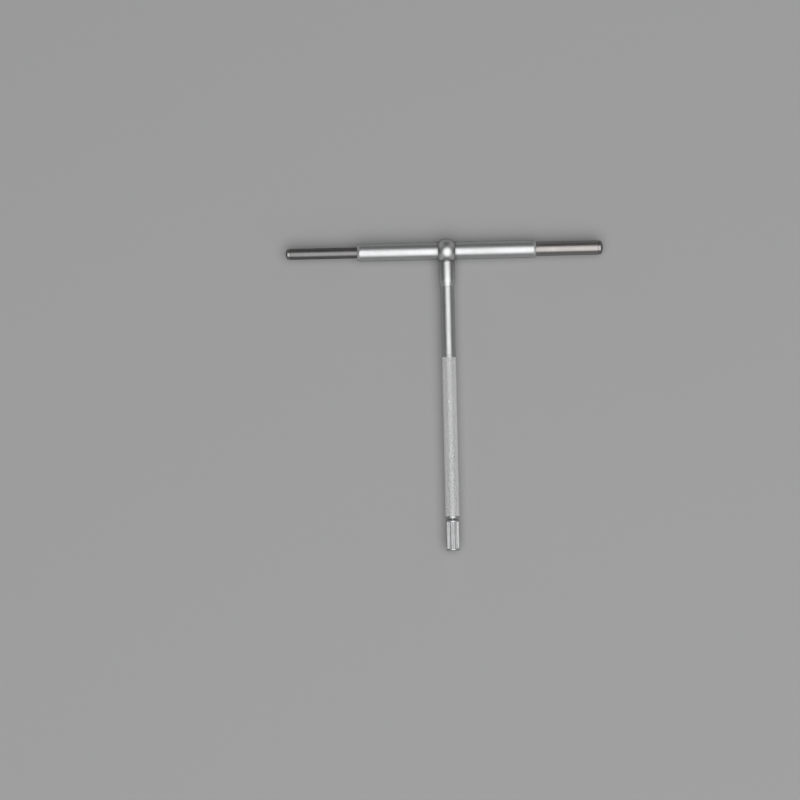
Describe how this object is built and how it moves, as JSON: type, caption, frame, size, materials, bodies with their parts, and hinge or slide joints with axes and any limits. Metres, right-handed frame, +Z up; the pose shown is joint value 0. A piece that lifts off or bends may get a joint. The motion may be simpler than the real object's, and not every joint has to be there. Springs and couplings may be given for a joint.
{
  "type": "telescoping gauge",
  "caption": "T-shaped bore gauge whose nested spring-loaded rods slide out of a crossbar barrel and are locked by a fluted screw in the end of the handle.",
  "frame": {"origin": "on the surface that the gauge lies on, under the middle of its outline with both rods sprung out", "axes": "+X along the crossbar towards the thick rod, the handle runs towards -Y, +Z up"},
  "size_m": [0.1524, 0.15, 0.0118],
  "materials": {
    "head_chrome": "satin chrome plate, turned",
    "barrel_satin": "fine satin chrome, ground round",
    "bush_steel": "turned steel",
    "handle_chrome": "satin chrome stem and knurled grip",
    "spring_steel": "drawn spring wire",
    "large_rod_steel": "ground steel, lightly warm",
    "small_rod_steel": "ground steel, greyer",
    "tip_steel": "hardened and ground steel",
    "lock_steel": "bright drawn steel",
    "screw_chrome": "satin chrome, fluted knob"
  },
  "bodies": {
    "gauge_body": {"head": "head_chrome", "barrel": "barrel_satin", "barrel_bush": "bush_steel", "handle": "handle_chrome", "plunger_spring": "spring_steel"},
    "large_rod": {"large_plunger": "large_rod_steel", "large_tip": "tip_steel"},
    "small_rod": {"small_plunger": "small_rod_steel", "small_tip": "tip_steel"},
    "lock_pusher": {"lock_rod": "lock_steel", "lock_shoe": "lock_steel"},
    "lock_knob": {"lock_screw": "screw_chrome"}
  },
  "joints": [
    {"name": "small_rod_slide", "type": "slide", "parent": "gauge_body", "child": "small_rod", "axis": [1, 0, 0], "range_m": [0, 0.03285], "stiffness_N_per_m": 60, "springref_m": -0.03, "deforming": ["plunger_spring"]},
    {"name": "large_rod_slide", "type": "slide", "parent": "gauge_body", "child": "large_rod", "axis": [-1, 0, 0], "range_m": [0, 0.03065], "stiffness_N_per_m": 60, "springref_m": -0.03, "deforming": ["plunger_spring"]},
    {"name": "lock_rod_slide", "type": "slide", "parent": "gauge_body", "child": "lock_pusher", "axis": [0, 1, 0], "range_m": [0, 0.00025]},
    {"name": "lock_screw_turn", "type": "hinge", "parent": "lock_pusher", "child": "lock_knob", "pos_m": [0.0011, -0.0674, 0.0059], "axis": [0, 1, 0], "range_deg": [0, 180]}
  ],
  "couplings": [
    {"joint": "lock_screw_turn", "follows": "lock_rod_slide", "rad_per_m": 12566}
  ]
}
